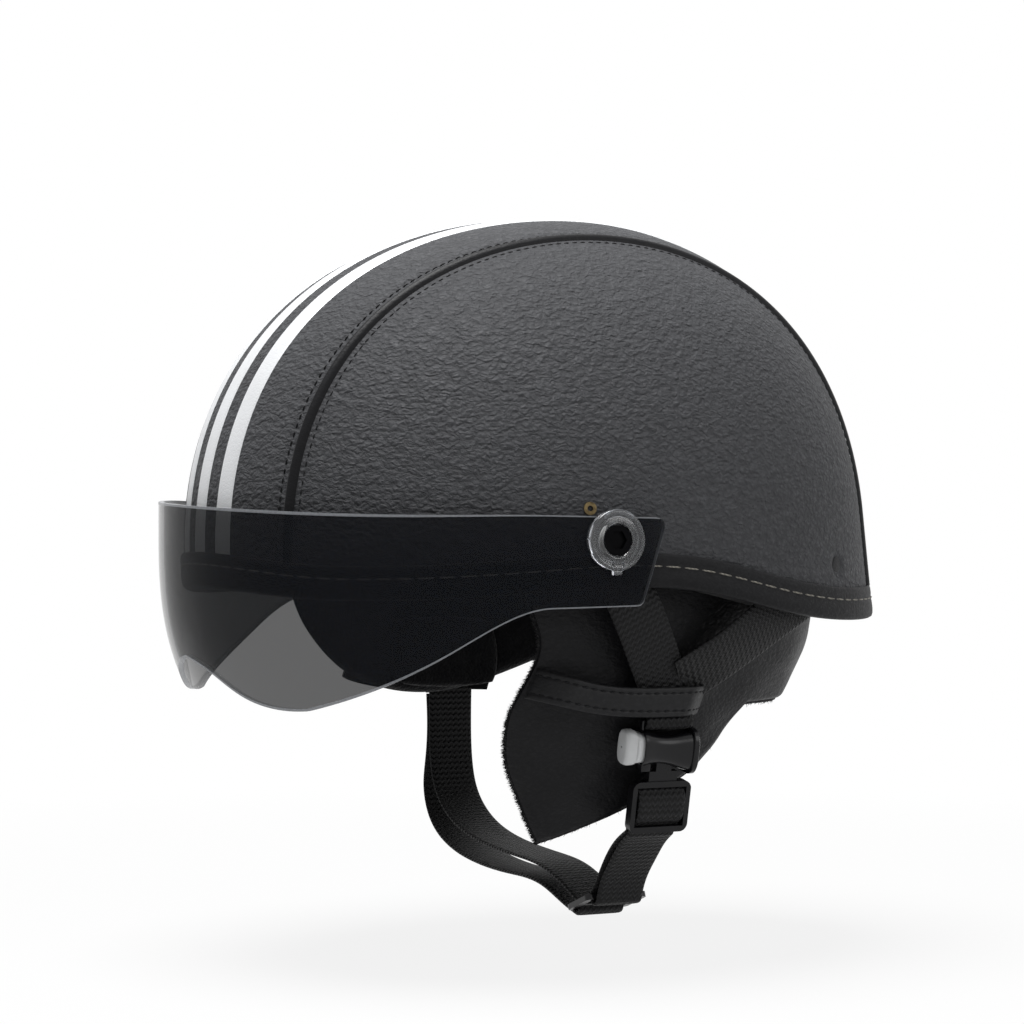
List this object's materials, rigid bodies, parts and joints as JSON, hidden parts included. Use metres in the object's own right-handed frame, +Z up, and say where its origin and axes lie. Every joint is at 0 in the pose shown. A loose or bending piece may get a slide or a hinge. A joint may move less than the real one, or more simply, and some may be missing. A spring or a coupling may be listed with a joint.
{
  "type": "half shell motorcycle helmet",
  "caption": "Leather-covered half shell motorcycle helmet with silver stripes, short smoked visor on side pivots, ear and neck flap, and a chin strap with quick-release buckle.",
  "frame": {"origin": "middle of the crown at its widest level, on the centre plane of the helmet", "axes": "+Z up, -Y to the front of the helmet, +X to the wearer's left"},
  "size_m": [0.2252, 0.2803, 0.259],
  "materials": {
    "shell_plastic": "satin",
    "liner_foam": "matt",
    "lining_cloth": "matt",
    "grained_leather": "satin grain",
    "piping_leather": "satin",
    "silver_stripe": "satin",
    "trim_leather": "satin, grey stitches",
    "flap_leather": "matt",
    "flap_pile": "short pile",
    "keeper_leather": "satin, black stitches",
    "webbing": "woven ribs",
    "smoked_plastic": "gloss",
    "clear_plastic": "gloss",
    "buckle_plastic": "gloss",
    "button_plastic": "satin",
    "spring_steel": "drawn wire",
    "brass": "dull",
    "black_steel": "black oxide",
    "nylon": "satin"
  },
  "bodies": {
    "shell": {"outer_shell": "shell_plastic", "foam_liner": "liner_foam", "comfort_lining": "lining_cloth", "edge_band": "lining_cloth", "cover_center": "grained_leather", "cover_left": "grained_leather", "cover_right": "grained_leather", "piping_left": "piping_leather", "piping_right": "piping_leather", "stripe_right": "silver_stripe", "stripe_center": "silver_stripe", "stripe_left": "silver_stripe", "rim_trim": "trim_leather", "strap_front_left": "webbing", "strap_front_right": "webbing", "strap_rear_left": "webbing", "strap_rear_right": "webbing", "strap_eyelets": "brass", "rear_rivets": "black_steel", "backing_plates": "black_steel", "pivot_spacers": "nylon", "pivot_screws": "black_steel", "pivot_nuts": "black_steel", "neck_flap": "flap_leather", "neck_flap_lining": "flap_pile", "neck_flap_tuck": "flap_pile", "strap_keeper_left": "keeper_leather", "strap_keeper_right": "keeper_leather", "buckle_body": "buckle_plastic", "button_spring": "spring_steel", "chin_loop": "webbing"},
    "visor": {"visor_shield": "smoked_plastic", "visor_bushes": "clear_plastic"},
    "button": {"release_button": "button_plastic"},
    "tongue": {"buckle_tongue": "buckle_plastic", "chin_strap": "webbing", "strap_slider": "buckle_plastic"}
  },
  "joints": [
    {"name": "visor_hinge", "type": "hinge", "parent": "shell", "child": "visor", "pos_m": [0, -0.0235, 0.0038], "axis": [-1, 0, 0], "range_deg": [0, 60]},
    {"name": "button_press", "type": "slide", "parent": "shell", "child": "button", "axis": [0, 1, 0], "range_m": [0, 0.002], "stiffness_N_per_m": 400, "deforming": ["button_spring"]},
    {"name": "tongue_release", "type": "slide", "parent": "shell", "child": "tongue", "axis": [-0.2079, 0, -0.9781], "range_m": [0, 0.016], "deforming": ["chin_loop"]}
  ]
}
